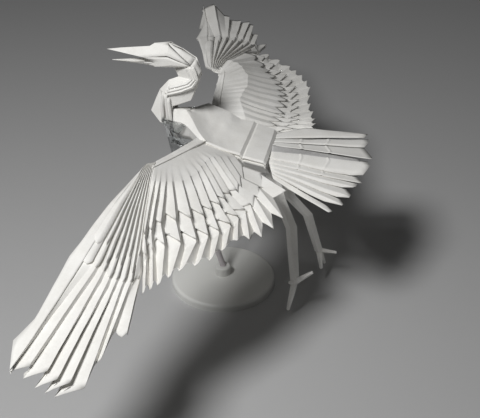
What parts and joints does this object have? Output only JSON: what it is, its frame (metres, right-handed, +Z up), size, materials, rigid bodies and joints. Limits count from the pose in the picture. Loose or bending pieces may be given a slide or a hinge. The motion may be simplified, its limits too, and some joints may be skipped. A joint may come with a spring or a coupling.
{
  "type": "origami crane",
  "caption": "Crane folded from one sheet of white paper, wings spread and legs trailing, held in flight by a clear holder on a thin rod over a small round display stand.",
  "frame": {"origin": "centre of the stand's underside, on the table", "axes": "+Z up, -X the way the beak points, +X the tail, -Y the side of the lower wing"},
  "size_m": [0.1899, 0.5157, 0.197],
  "materials": {
    "white_paper": "matt handmade paper, folded",
    "clear_plastic": "clear moulded plastic, glossy",
    "rod_plastic": "satin plastic rod",
    "stand_plastic": "smooth matt white moulding"
  },
  "bodies": {
    "root": {"folded_crane": "white_paper", "stand_holder": "clear_plastic", "stand_rod": "rod_plastic", "stand_base": "stand_plastic"}
  },
  "joints": []
}
